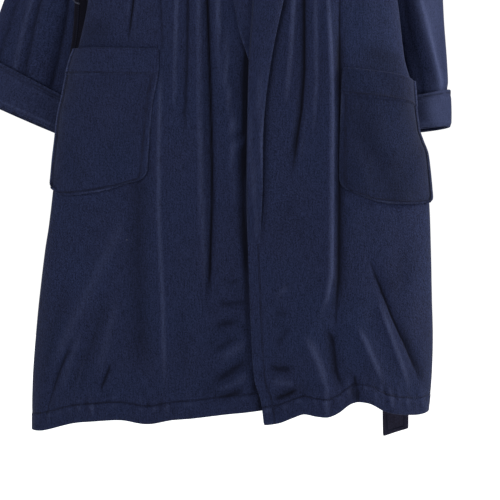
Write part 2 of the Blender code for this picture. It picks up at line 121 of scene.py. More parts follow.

# Lines on the hanging fronts: x and height of their points in mm, then a fold of the cloth (its height and its width
# to -x and to +x, in mm) and a streak of painted highlight (strength above 0) or painted shade (below 0) beside it (its
# strength and the same widths)
LINES = (
    ((-107.7, -582.5, -113.7, -700.7, -113.3, -810.6, -106.8, -935.5, -103.3, -1075.5), (4.2, 24, 15), ()),
    ((-144, -621.6, -146.3, -857.5, -139.4, -1060.2), (-2.5, 24, 20), ()),
    ((-155.9, -402.4, -155.9, -462.4, -163.6, -533.9), (-4.5, 7, 7), ()),
    ((-38.7, -400, -38.7, -464.1, -35.4, -559.1, -32.1, -669.5, -30.4, -779.3, -33.4, -857.5, -38, -951), (-11, 8, 7),
     (-1.3, 2.8, 2.8)),
    ((-51.3, -400, -51.3, -464.1, -51, -590.7, -49.3, -716.6, -50.6, -841.9), (5.5, 9, 8), ()),
    ((-21.3, -400, -21.3, -464.2, -19.7, -535.4, -14.9, -638), (5, 7, 7), ()),
    ((-8.7, -516.5, -8.7, -590.7, -3.9, -622.3, 0.8, -669.5, 4, -802.8), (5, 8, 6), ()),
    ((-68.6, -400, -68.6, -464, -70, -559, -74.4, -685.1), (-6, 7, 7), ()),
    ((-85.9, -400, -85.9, -463.9, -88.8, -574.7, -90, -660), (5, 10, 8), ()),
    ((-115, -400, -112, -470, -108, -560), (-4, 10, 8), ()),
    ((96.7, -400, 96.7, -463.8, 91.9, -551, 82.3, -653.7), (6, 9, 8), ()),
    ((-21.3, -400, -21.3, -464.2, -19.7, -535.4), (), (0.5, 2.8, 2.8)),
    ((-9, -490, -8.7, -590.7, -3.9, -622.3, 0.8, -669.5, 4, -802.8), (), (0.53, 2.8, 2.8)),
    ((-50, -630, -47, -750, -44, -850, -42, -940), (), (0.37, 2.8, 2.8)),
    ((-68.6, -400, -70, -559, -74.4, -685.1), (), (-0.35, 4, 3)),
    ((-85.9, -400, -88.8, -574.7), (), (0.19, 3, 3)),
    ((99, -400, 99, -463.8, 93, -560), (), (0.25, 2.8, 2.8)),
    ((115.7, -400, 115.7, -463.5, 115.5, -574.5, 110.6, -637.8, 101.1, -700.8, 94.7, -747.9), (-8, 8, 7),
     (-0.95, 6.5, 2.4)),
    ((131.5, -400, 131.5, -463.2, 132.8, -590.2, 126.2, -700.7), (4, 9, 9), ()),
    ((150.6, -400, 150.6, -462.7, 156.5, -590, 156.2, -700, 154, -893.5, 148, -933.1, 131.5, -969.6), (5.5, 13, 7), ()),
    ((170.9, -430, 170.9, -493.9, 171.7, -668.7, 168.5, -904.5, 162, -982.5, 153.9, -1013.6), (-6.5, 8, 11), ()),
    ((212, -865, 232.9, -910.1, 252.8, -959.6, 272.7, -1002.7, 292.4, -1045.6, 305.7, -1078.6), (-7, 8, 10), ()),
    ((224, -925, 244, -979.5, 262, -1029, 283, -1087), (4, 9, 9), ()),
    ((193, -972.9, 206, -999.4, 220, -1032.4, 237, -1068.7), (5, 12, 9), ()),
    ((190, -1040, 198, -1080, 201, -1120), (-7, 12, 12), ()),
    ((143.7, -972.9, 160.2, -999.4, 165, -1045.6, 173.4, -1078.6), (-7, 10, 10), ()),
    ((108.6, -983.7, 123.3, -1010.3, 135.2, -1037, 147, -1072.4, 148, -1130), (6, 13, 11), ()),
    ((113, -1070, 113, -1130), (-4, 12, 12), ()),
    ((-246.8, -993.1, -271.6, -1047.4, -290.2, -1100.5, -296, -1140), (-5, 9, 9), ()),
    ((-220, -1000, -240, -1065, -255, -1135), (4, 14, 12), ()),
    ((152, -460, 156, -540, 159, -640, 158, -750, 156.2, -893.5, 149.5, -933.1, 133, -969.6), (), (0.75, 2.4, 2)),
    ((168, -493.9, 170, -668.7, 167, -904.5, 160, -962.5), (), (-0.85, 5, 9)),
    ((-110.7, -565, -113.7, -700.7, -113.3, -810.6, -106.8, -935.5, -103.3, -1075.5), (), (0.53, 2.8, 2.8)),
    ((-144, -621.6, -146.3, -857.5, -139.4, -1060.2), (), (-0.4, 17, 15)),
    ((-155.9, -402.4, -155.9, -462.4, -163.6, -533.9), (), (-0.85, 2.8, 2.8)),
    ((212, -865, 232.9, -910.1, 252.8, -959.6, 272.7, -1002.7), (), (-0.8, 3.2, 3.6)),
    ((255, -962, 275, -1002.7, 295, -1045.6, 308, -1083), (), (-0.7, 4.5, 7.5)),
    ((227.5, -925, 247.5, -979.5, 265.5, -1029, 287, -1090), (), (0.42, 2.8, 2.8)),
    ((196.6, -972.9, 209.7, -999.4, 223, -1032.4, 239.5, -1068.7), (), (0.5, 3.6, 3.2)),
    ((143.7, -969, 156, -999.4, 162, -1045.6, 173.4, -1080), (), (-0.6, 8, 7)),
    ((113, -983.7, 127, -1010.3, 138, -1037, 149.9, -1072.4), (), (0.42, 6, 5)),
    ((185, -1065, 200, -1098.3), (), (-0.55, 8, 9)),
    ((-246.8, -993.1, -271.6, -1047.4, -290.2, -1100.5), (), (-0.55, 4, 4)),
    ((-230, -970, -256, -1040, -270, -1090), (), (0.22, 5, 5)),
    ((-186.9, -1031.1, -197.9, -1057.8, -207.5, -1081.4), (-5, 7, 7), (-0.5, 4, 4)),
    ((195, -543, 235, -550, 285, -565), (), (-0.45, 17, 17)),
    ((-250, -508, -215, -508, -180, -508), (), (-0.35, 17, 17)),
    ((-9.8, -908, 13.8, -906.5), (-3, 9, 9), (-0.45, 5, 5)),
    ((-15, -927, 22.7, -924), (2.6, 8, 8), ()),
    ((-24.6, -930.5, -9.8, -943.6, 19.8, -939.2, 28.7, -934.9), (-3.2, 8, 8), (-0.5, 4.5, 4.5)),
    ((-21.6, -956, 25.7, -953), (2.6, 8, 8), ()),
    ((-30.5, -977.8, -6.9, -971.8, 16.8, -968.8), (-4, 9, 9), (-0.62, 6, 6)),
    ((-33.5, -1019.1, 2.1, -998.4, 13.8, -986.6), (-3, 9, 9), (-0.45, 5, 5)),
    ((-24.6, -1031, 8, -1013.2, 31, -995.5), (4, 9, 9), (0.3, 6, 6)),
    ((-33.5, -1066.4, -6.9, -1051.7, 19.8, -1034, 31, -1028), (-5, 10, 10), (-0.72, 6.5, 6.5)),
    ((-27.5, -1080.3, 10.9, -1062.6, 34.6, -1044.8), (3.6, 8, 8), (0.24, 5, 5)),
    ((-18.6, -1090.2, 5, -1081.3, 22.7, -1072.4), (-3.6, 8, 8), (-0.5, 5, 5)),
    ((67.1, -933.3, 90.7, -909.7), (2.6, 7, 7), (0.24, 3, 3)),
    ((64.1, -957.1, 90.7, -957.1), (-2.8, 10, 10), (-0.38, 7, 7)),
    ((67.1, -1007.3, 93.7, -977.8), (-2.8, 8, 8), (-0.38, 5, 5)),
    ((61.3, -1022, 107.7, -1019), (2.6, 8, 8), ()),
    ((55.3, -1037, 73, -1042.8, 99.6, -1042.8), (-4.6, 9, 9), (-0.66, 6, 6)),
    ((58.3, -1061.6, 102.6, -1066.4), (3.4, 9, 9), (0.26, 6, 6)),
    ((61.3, -1090.2, 84.9, -1084.2, 108.6, -1072.4), (-4.6, 9, 9), (-0.6, 6, 6)),
    ((-295, -1070, -245, -965, -195, -865, -155, -790), (2.6, 22, 20), ()),
    ((-255, -1120, -218, -1000, -185, -915), (-2.4, 18, 16), ()),
    ((-290, -1060, -245, -965, -195, -865, -155, -790), (), (0.2, 9, 9)),
    ((-255, -1090, -218, -1000, -185, -915), (), (-0.28, 9, 9)),
    ((-212, -1070, -195, -1000, -178, -920), (), (0.18, 7, 7)),
    ((-305, -1090, -280, -990, -250, -890), (), (-0.2, 8, 8)),
    ((290, -830, 270, -900, 220, -940), (), (-0.2, 14, 14)),
    ((65, -870, 90, -790, 125, -870), (), (-0.16, 14, 14)),
    ((70, -1090, 100, -1070, 135, -1075), (), (-0.22, 8, 8)),
    ((-60, -1070, -20, -1080, 20, -1060), (), (-0.22, 8, 8)),
    ((-80, -930, -75, -1000, -70, -1070), (), (-0.2, 9, 9)),
)
FOLDS = [(pairs(*line), *fold) for line, fold, _ in LINES if fold]
# The streaks of painted highlight and painted shade on the fronts
PAINTED_STREAKS = [(pairs(*line), *streak) for line, _, streak in LINES if streak]


def hermite(stations, t):
    """A smooth curve through (place, value) stations, level past its ends."""
    xs, ys = (np.array(c, float) for c in zip(*stations))
    slopes = np.empty_like(ys)
    slopes[1:-1] = (ys[2:] - ys[:-2]) / (xs[2:] - xs[:-2])
    slopes[0], slopes[-1] = (ys[1] - ys[0]) / (xs[1] - xs[0]), (ys[-1] - ys[-2]) / (xs[-1] - xs[-2])
    t = np.clip(np.asarray(t, float), xs[0], xs[-1])
    k = np.clip(np.searchsorted(xs, t, side="right") - 1, 0, len(xs) - 2)
    span = xs[k + 1] - xs[k]
    s = (t - xs[k]) / span
    return ((2 * s**3 - 3 * s**2 + 1) * ys[k] + (s**3 - 2 * s**2 + s) * span * slopes[k]
            + (3 * s**2 - 2 * s**3) * ys[k + 1] + (s**3 - s**2) * span * slopes[k + 1])


def ease(t):
    t = np.clip(t, 0.0, 1.0)
    return t * t * (3 - 2 * t)


def bell(t):
    return np.exp(-(t**2))


def ripple(u, v, wave_u, wave_v, seed, parts=9):
    """Smooth irregular waves between about -1 and 1 with these wavelengths."""
    rng = np.random.default_rng(seed)
    total = np.zeros(np.broadcast(u, v).shape)
    for _ in range(parts):
        a, b = rng.uniform(0.55, 1.6, 2)
        sign = rng.choice((-1, 1))
        total += np.sin(2 * math.pi * (a * u / wave_u + sign * b * v / wave_v) + rng.uniform(0, 2 * math.pi))
    return total / math.sqrt(parts) / 1.4


def near_line(x, z, points):
    """Distance from a line on the cloth, the side it is on, the place along it, and its length."""
    best = np.full(x.shape, 1e9)
    side = np.zeros(x.shape)
    along = np.zeros(x.shape)
    lengths = [math.dist(a, b) for a, b in zip(points, points[1:])]
    done, total = 0.0, sum(lengths)
    for (a, b), length in zip(zip(points, points[1:]), lengths):
        dx, dz = (b[0] - a[0]) / length, (b[1] - a[1]) / length
        t = np.clip((x - a[0]) * dx + (z - a[1]) * dz, 0, length)
        off_x, off_z = x - a[0] - dx * t, z - a[1] - dz * t
        far = np.hypot(off_x, off_z)
        near = far < best
        best = np.where(near, far, best)
        side = np.where(near, off_x if abs(dz) > abs(dx) else off_z, side)
        along = np.where(near, done + t, along)
        done += length
    return best, side, along, total


def tone(x, z):
    """Painted highlight (up to 1) and painted shade (down to -1) on the fronts, streaked along their folds."""
    out = np.zeros(x.shape)
    for points, strength, low_width, high_width in PAINTED_STREAKS:
        best, side, along, total = near_line(x, z, points)
        width = np.where(side < 0, low_width, high_width) / 1000
        fade = min(0.35 * total, 0.06)
        out += strength * bell(best / width) * ease(along / fade) * ease((total - along) / fade)
    return out


def polyline_fold(x, z, points, rise, low_width, high_width):
    """A ridge (rise > 0) or valley along a line on the cloth, in metres, dying out at both ends."""
    best, side, along, total = near_line(x, z, points)
    width = np.where(side < 0, low_width, high_width) / 1000
    fade = min(0.35 * total, 0.09)
    crest, spread = 0.0016, 0.62 * width  # the ridge is rounded over crest and dies out over spread
    shape = np.exp(-(np.sqrt(best**2 + crest**2) - crest) / spread)
    return rise / 1000 * shape * ease(along / fade + 0.15) * ease((total - along) / fade + 0.15)


def fold_height(x, z):
    """How far the front's cloth stands out of its plain shape."""
    height = np.zeros(x.shape)
    for points, rise, low_width, high_width in FOLDS:
        height += polyline_fold(x, z, points, rise, low_width, high_width)
    low = ease((-0.72 - z) / 0.4)
    height += 0.0030 * low * ripple(x, z, 0.13, 0.9, 3) + 0.0009 * ripple(x, z, 0.06, 0.30, 5)
    return height + 0.00016 * ripple(x, z, 0.019, 0.04, 8)


def back_fold_height(x, z):
    low = ease((-0.42 - z) / 0.5)
    height = 0.0055 * low * ripple(x, z, 0.15, 1.6, 21) + 0.0013 * ripple(x, z, 0.06, 0.26, 22)
    gathers = bell((z + 0.455) / 0.07)
    height += 0.0022 * gathers * ripple(x, z, 0.032, 0.4, 23)
    height += 0.003 * ease((z + 0.36) / 0.12) * ripple(x, z, 0.16, 0.20, 24)
    return height + 0.0005 * ripple(x, z, 0.022, 0.05, 25)


def shoulder_line(x):
    return NECK_SIDE_Z - (np.abs(x) - NECK_HALF) * (NECK_SIDE_Z - SHOULDER_END_Z) / (SHOULDER_HALF - NECK_HALF)


def middle_and_half(z):
    right, left = hermite(RIGHT_SIDE, z), hermite(LEFT_SIDE, z)
    return (left + right) / 2, (left - right) / 2


def shell(angle, z, front):
    """Points of the body's plain surface. The angle is 0 at the wearer's left side seam and pi at the right."""
    middle, half = middle_and_half(z)
    depth = hermite(FRONT_DEPTH if front else BACK_DEPTH, z)
    cos, sin = np.cos(angle), np.abs(np.sin(angle))
    x = middle + half * np.sign(cos) * np.abs(cos) ** (1 / SQUARE)
    below = np.clip((shoulder_line(x) - z) / SHOULDER_ROUND, 0, 1)
    y = depth * sin ** (1 / POINTED) * np.sqrt(np.maximum(0, 1 - (1 - below) ** 2))
    return x, (-y if front else y)


def angle_at(x, z):
    middle, half = middle_and_half(z)
    share = np.clip((x - middle) / half, -1, 1)
    return np.arccos(np.sign(share) * np.abs(share) ** SQUARE)


def clear_of_seams(angle):
    """1 on the middle of a front, down to 0 at the side seams."""
    return np.abs(np.sin(angle)) ** 0.6


def lap_sink(side, x):
    """How far back a front lies: the right one passes behind the left one."""
    return 0.0 if side == "left" else LAP * ease((x + 0.075) / 0.085)


def outward(angle, z, front, step=0.012):
    """The level direction out of the body's plain surface, from two points this far to either side."""
    x1, y1 = shell(np.clip(angle + step, 0, math.pi), z, front)
    x0, y0 = shell(np.clip(angle - step, 0, math.pi), z, front)
    nx, ny = y1 - y0, x0 - x1
    length = np.maximum(np.hypot(nx, ny), 1e-9) * np.where((ny > 0) == front, -1.0, 1.0)
    return nx / length, ny / length


def raised(angle, z, height):
    """Points this far out of the front's plain surface."""
    x, y = shell(angle, z, True)
    nx, ny = outward(angle, z, True)
    return np.stack([x + nx * height, y + ny * height, z], -1)


def bending(points, normal, ring):
    """How strongly the cloth bulges outwards at each point, as 1 / radius in metres."""
    total = np.zeros(points.shape[:2])
    for axis in (0, 1):
        width = [(2, 2) if k == axis else (0, 0) for k in range(3)]
        wide = np.pad(points, width, mode="wrap" if ring and axis == 1 else "edge")
        take = [slice(None), slice(None)]
        size = points.shape[axis]
        low, high = take.copy(), take.copy()
        low[axis], high[axis] = slice(0, size), slice(4, size + 4)
        a, b = wide[tuple(low)] - points, wide[tuple(high)] - points
        la, lb = np.linalg.norm(a, axis=-1, keepdims=True), np.linalg.norm(b, axis=-1, keepdims=True)
        la, lb = np.maximum(la, 1e-4), np.maximum(lb, 1e-4)
        total -= ((a / la + b / lb) * normal).sum(-1) * 2 / (la + lb)[..., 0]
    for axis in (0, 1):
        total = (np.roll(total, 1, axis) + 2 * total + np.roll(total, -1, axis)) / 4
    return np.clip(total, -250, 250)


def unit(ways):
    return ways / np.maximum(np.linalg.norm(ways, axis=-1, keepdims=True), 1e-12)


def cloth(name, points, thick=CLOTH, seams=(None, None), cut=None, ring=False, flip=False, rim=3, material=None,
          shade=None):
    """A closed cloth piece with rounded edges around a grid of middle points, in metres.

    seams are two fields whose zero is a stitched line, and shade is the painted highlight (above 0) and painted shade
    (below 0) on its pile.
    cut is the flat cloth's (u, v) of each point. The grid closes on itself if it is a ring."""
    rows, columns = points.shape[:2]
    points = points.copy()
    points[..., 1] += SIDE_Y
    if ring:
        wide = np.concatenate([points[:, -1:], points, points[:, :1]], 1)
        across = (wide[:, 2:] - wide[:, :-2]) / 2
    else:
        across = np.gradient(points, axis=1)
    along = np.gradient(points, axis=0)
    normal = unit(np.cross(across, along))
    half = np.broadcast_to(np.asarray(thick, float) / 2, (rows, columns))[..., None]
    outer = (points + normal * half).reshape(-1, 3)
    inner = (points - normal * half).reshape(-1, 3)
    index = np.arange(rows * columns).reshape(rows, columns)
    if ring:
        loops = [(index[0], -along[0]), (index[-1][::-1], along[-1][::-1])]
        after = np.roll(index, -1, 1)
        a, b, c, d = index[:-1], after[:-1], after[1:], index[1:]
    else:
        order = np.concatenate([index[0, :-1], index[:-1, -1], index[-1, :0:-1], index[:0:-1, 0]])
        ways = np.zeros((rows, columns, 3))
        ways[0] -= unit(along)[0]
        ways[-1] += unit(along)[-1]
        ways[:, 0] -= unit(across)[:, 0]
        ways[:, -1] += unit(across)[:, -1]
        loops = [(order, ways.reshape(-1, 3)[order])]
        a, b, c, d = index[:-1, :-1], index[:-1, 1:], index[1:, 1:], index[1:, :-1]
    quads = np.stack([a, b, c, d], -1).reshape(-1, 4)
    total = rows * columns
    faces = [quads, quads[:, ::-1] + total]
    vertices = [outer, inner]
    source = [np.arange(total), np.arange(total)]
    count = 2 * total
    flat_points, flat_normal, flat_half = points.reshape(-1, 3), normal.reshape(-1, 3), half.reshape(-1, 1)
    for loop, way in loops:
        n = flat_normal[loop]
        way = unit(way - n * (way * n).sum(-1, keepdims=True))
        bands = [loop]
        for k in range(1, rim + 1):
            turn = math.pi * k / (rim + 1)
            vertices.append(flat_points[loop] + flat_half[loop] * (n * math.cos(turn) + way * math.sin(turn)))
            source.append(loop)
            bands.append(np.arange(count, count + len(loop)))
            count += len(loop)
        bands.append(loop + total)
        for upper, lower in zip(bands, bands[1:]):
            faces.append(np.stack([np.roll(upper, -1), upper, lower, np.roll(lower, -1)], -1))
    vertices, faces, source = np.concatenate(vertices), np.concatenate(faces), np.concatenate(source)
    if flip:
        faces = faces[:, ::-1]
    mesh = bpy.data.meshes.new(name)
    mesh.vertices.add(len(vertices))
    mesh.vertices.foreach_set("co", vertices.astype(np.float32).ravel())
    mesh.loops.add(faces.size)
    mesh.loops.foreach_set("vertex_index", faces.astype(np.int32).ravel())
    mesh.polygons.add(len(faces))
    mesh.polygons.foreach_set("loop_start", np.arange(0, faces.size, 4, dtype=np.int32))
    mesh.update(calc_edges=True)
    mesh.validate()
    if cut is None:
        step_a = np.linalg.norm(np.diff(points, axis=1), axis=-1)
        step_b = np.linalg.norm(np.diff(points, axis=0), axis=-1)
        cut = (np.concatenate([np.zeros((rows, 1)), np.cumsum(step_a, 1)], 1),
               np.concatenate([np.zeros((1, columns)), np.cumsum(step_b, 0)], 0))
    flat = np.stack([np.broadcast_to(c, (rows, columns)).ravel() for c in cut], -1)[source]
    corner = np.empty(len(mesh.loops), np.int32)
    mesh.loops.foreach_get("vertex_index", corner)
    layer = mesh.uv_layers.new(name="cut")
    layer.data.foreach_set("uv", flat[corner].astype(np.float32).ravel())
    bend = bending(points, normal, ring).ravel()
    # The rims get a fixed bend of 70, which paints a highlight along every cut edge
    fields = [np.concatenate([bend, -bend, np.full(len(source) - 2 * total, 70.0)])]
    for field in (*seams, 0.0 if shade is None else shade):
        field = 1.0 if field is None else field
        fields.append(np.broadcast_to(field, (rows, columns)).ravel()[source])
    # The last attribute carries the painted highlight and painted shade into the material
    for label, values in zip(("bend", "seam_a", "seam_b", "tone"), fields):
        made = mesh.attributes.new(label, "FLOAT", "POINT")
        made.data.foreach_set("value", values.astype(np.float32))
    mesh.shade_smooth()
    obj = bpy.data.objects.new(f"{name}_cloth", mesh)
    bpy.context.scene.collection.objects.link(obj)
    obj.data.materials.append(material or VELOUR)
    return obj


# Materials

GROOVE_HALF = 0.0021  # half width of the groove along a seam
STITCH = 0.0034  # from one stitch to the next

class Nodes:
    """Short names for building a node tree."""

    def __init__(self, name):
        self.material = bpy.data.materials.new(name)
        self.material.use_nodes = True
        self.tree = self.material.node_tree
        self.shader = self.tree.nodes["Principled BSDF"]

    def new(self, kind, sockets=(), **settings):
        node = self.tree.nodes.new(kind)
        for key, value in settings.items():
            setattr(node, key, value)
        self.set(node, sockets)
        return node

    def set(self, node, sockets):
        for key, value in dict(sockets).items():
            node.inputs[key].default_value = value

    def read(self, label):
        return self.new("ShaderNodeAttribute", attribute_name=label).outputs["Fac"]

    def link(self, out, into):
        self.tree.links.new(out, into)

    def math(self, operation, a, b=None, c=None):
        node = self.new("ShaderNodeMath", operation=operation)
        for socket, value in zip(node.inputs, (a, b, c)):
            if value is None:
                continue
            if isinstance(value, (int, float)):
                socket.default_value = value
            else:
                self.link(value, socket)
        return node.outputs[0]

    def noise(self, vector, scale, detail=2.0, rough=0.5):
        node = self.new("ShaderNodeTexNoise", {"Scale": scale, "Detail": detail, "Roughness": rough})
        self.link(vector, node.inputs["Vector"])
        return node.outputs["Fac"]

    def stretch(self, vector, scale, turn=0.0):
        node = self.new("ShaderNodeMapping", {"Scale": scale, "Rotation": (0, 0, turn)})
        self.link(vector, node.inputs["Vector"])
        return node.outputs[0]

    def span(self, value, low, high, to_low=0.0, to_high=1.0):
        node = self.new("ShaderNodeMapRange", {"From Min": low, "From Max": high, "To Min": to_low, "To Max": to_high})
        self.link(value, node.inputs["Value"])
        return node.outputs[0]

    def blend(self, share, a, b):
        node = self.new("ShaderNodeMix", {"Factor": share}, data_type="RGBA")
        self.link(a, node.inputs[6])
        self.link(b, node.inputs[7])
        return node.outputs[2]

    def mix(self, factor, a, b):
        node = self.new("ShaderNodeMix", data_type="RGBA")
        self.link(factor, node.inputs["Factor"])
        for socket, value in ((node.inputs[6], a), (node.inputs[7], b)):
            if isinstance(value, tuple):
                socket.default_value = (*value, 1)
            else:
                self.link(value, socket)
        return node.outputs[2]

    def bump(self, height, strength, distance):
        node = self.new("ShaderNodeBump", {"Strength": strength, "Distance": distance})
        self.link(height, node.inputs["Height"])
        self.link(node.outputs[0], self.shader.inputs["Normal"])


def make_velour(name, deep, pale, low, high, warm_colour, painted_highlight_colour):
    """Navy pile cloth: short uneven pile with a soft shine, painted highlights on ridges, painted shade in creases and
    along folds, and grooves along its seams.
    """
    n = Nodes(name)
    cut = n.new("ShaderNodeUVMap", uv_map="cut").outputs[0]
    fine = n.noise(cut, 760.0, 2.0, 0.7)
    tuft = n.noise(n.stretch(cut, (520.0, 330.0, 1.0), 0.5), 1.0, 2.0, 0.6)
    streak = n.noise(n.stretch(cut, (430.0, 60.0, 1.0), 0.03), 1.0, 2.0, 0.6)
    brushed = n.noise(n.stretch(cut, (34.0, 11.0, 1.0)), 1.0, 4.0, 0.65)
    patch = n.noise(cut, 8.0, 3.0, 0.55)
    texture = n.math("ADD", n.math("MULTIPLY", fine, 0.45), n.math("MULTIPLY", tuft, 0.35))
    texture = n.math("ADD", texture, n.math("MULTIPLY", streak, 0.20))
    base = n.mix(n.span(texture, 0.41, 0.59), deep, pale)
    lit = n.mix(n.span(brushed, 0.35, 0.68), low, high)
    warm = n.mix(n.span(patch, 0.38, 0.64), warm_colour, lit)
    colour = n.blend(0.30, base, warm)
    # Painted highlight where the cloth bulges and on its rims, in the painted highlight colour
    bend = n.read("bend")
    ridge_highlight = n.math("MULTIPLY", n.span(bend, 32.0, 170.0), n.span(texture, 0.38, 0.60, 0.35, 1.0))
    colour = n.mix(n.math("MULTIPLY", ridge_highlight, 0.75), colour, painted_highlight_colour)
    # Painted shade where the cloth creases
    colour = n.mix(n.math("MULTIPLY", n.span(bend, -25.0, -150.0), 0.75), colour, (0.0028, 0.0032, 0.0085))
    # Painted highlight (speckled with the pile) and painted shade (near black) from each piece's attribute of painted
    # light and shade
    shade = n.read("tone")
    mottled = n.span(texture, 0.40, 0.58, 0.45, 1.0)
    colour = n.mix(n.math("MULTIPLY", n.span(shade, 0.0, 1.0), mottled), colour, painted_highlight_colour)
    colour = n.mix(n.span(shade, 0.0, -1.0, 0.0, 0.88), colour, (0.0012, 0.0014, 0.0038))
    lines = []
    for label in ("seam_a", "seam_b"):
        lines.append(n.span(n.math("ABSOLUTE", n.read(label)), 0.0, GROOVE_HALF, 1.0, 0.0))
    groove = n.math("MAXIMUM", lines[0], lines[1])
    parts = n.new("ShaderNodeSeparateXYZ")
    n.link(cut, parts.inputs[0])
    run = n.math("ADD", parts.outputs[0], parts.outputs[1])
    stitch = n.span(n.math("SINE", n.math("MULTIPLY", run, 2 * math.pi / STITCH)), -0.2, 0.5)
    thread = n.math("MULTIPLY", n.math("GREATER_THAN", groove, 0.78), stitch)
    uneven = n.span(n.noise(cut, 55.0, 2.0), 0.35, 0.60, 0.15, 0.80)
    dark = n.mix(n.math("MULTIPLY", groove, uneven), colour, (0.0040, 0.0048, 0.0130))
    dark = n.mix(n.math("MULTIPLY", thread, 0.4), dark, (0.0200, 0.0240, 0.0560))
    cells = n.new("ShaderNodeTexVoronoi", {"Scale": 26.0})
    n.link(cut, cells.inputs["Vector"])
    chosen = n.new("ShaderNodeSeparateColor")
    n.link(cells.outputs["Color"], chosen.inputs[0])
    lint = n.math("MULTIPLY", n.math("GREATER_THAN", chosen.outputs[0], 0.93),
                  n.math("LESS_THAN", cells.outputs["Distance"], 0.028))
    n.link(n.mix(n.math("MULTIPLY", lint, 0.55), dark, (0.17, 0.17, 0.21)), n.shader.inputs["Base Color"])
    height = n.math("SUBTRACT", texture, n.math("MULTIPLY", groove, 0.9))
    height = n.math("ADD", height, n.math("MULTIPLY", thread, 0.3))
    n.bump(height, 0.9, 0.0016)
    n.link(n.span(brushed, 0.3, 0.7, 0.88, 1.0), n.shader.inputs["Roughness"])
    n.set(n.shader, {"Specular IOR Level": 0.10, "Sheen Weight": 0.06, "Sheen Roughness": 0.30,
                     "Sheen Tint": (0.62, 0.68, 1.0, 1)})
    return n.material


def make_tape(name, light, dark, threads=1500.0):
    """Woven tape or label cloth, with this many threads to the metre."""
    n = Nodes(name)
    place = n.new("ShaderNodeTexCoord").outputs["Object"]
    weave = []
    for turn in (0.78, -0.78):
        wave = n.new("ShaderNodeTexWave", {"Scale": threads / 6.28, "Distortion": 1.2}, wave_type="BANDS",
                     bands_direction="X")
        n.link(n.stretch(place, (1.0, 1.0, 1.0), turn), wave.inputs["Vector"])
        weave.append(wave.outputs["Fac"])
    height = n.math("MULTIPLY", weave[0], weave[1])
    wear = n.noise(place, 60.0, 3.0)
    n.link(n.mix(n.math("MULTIPLY", n.span(height, 0.0, 0.8), n.span(wear, 0.2, 0.7, 0.5, 1.0)), dark, light),
           n.shader.inputs["Base Color"])
    n.bump(height, 0.5, 0.0003)
    n.set(n.shader, {"Roughness": 0.8, "Sheen Weight": 0.05})
    return n.material


# Their colours: the pile's depth and face, its brushed streaks, faded patches and painted ridge highlights
VELOUR = make_velour("navy_velour", (0.0012, 0.0022, 0.008), (0.0205, 0.029, 0.079), (0.0062, 0.0092, 0.028),
                     (0.0135, 0.019, 0.05), (0.011, 0.0122, 0.032), (0.04, 0.05, 0.108))
SASH_VELOUR = make_velour("faded_navy_velour", (0.005, 0.0048, 0.0105), (0.029, 0.0285, 0.054),
                          (0.009, 0.0092, 0.02), (0.018, 0.018, 0.037), (0.017, 0.015, 0.029), (0.046, 0.045, 0.078))
TAPE = make_tape("navy_twill", (0.020, 0.026, 0.070), (0.006, 0.008, 0.022))
LABEL = make_tape("label_cloth", (0.60, 0.61, 0.63), (0.42, 0.43, 0.45), 2600.0)


# Pieces


def graded(bottom, top, fine, coarse_count, band=0.044):
    """Shares of a height from 0 to 1, close together over the band at the bottom."""
    share = band / (top - bottom)
    low = np.arange(0.0, share, fine / (top - bottom))
    return np.concatenate([low, np.linspace(share, 1.0, coarse_count)])


def edge_columns(count):
    """Shares from 0 to 1 with a few extra close to 0, for a crisp free edge."""
    return np.concatenate([[0.0, 0.003, 0.007, 0.012, 0.018, 0.025, 0.033], np.linspace(0.042, 1.0, count)])


def tell(piece, body, *replaced):
    """Hides the frame's parts that a piece stands in for, and hangs the piece on one body."""
    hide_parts(*replaced)
    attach(piece, body)


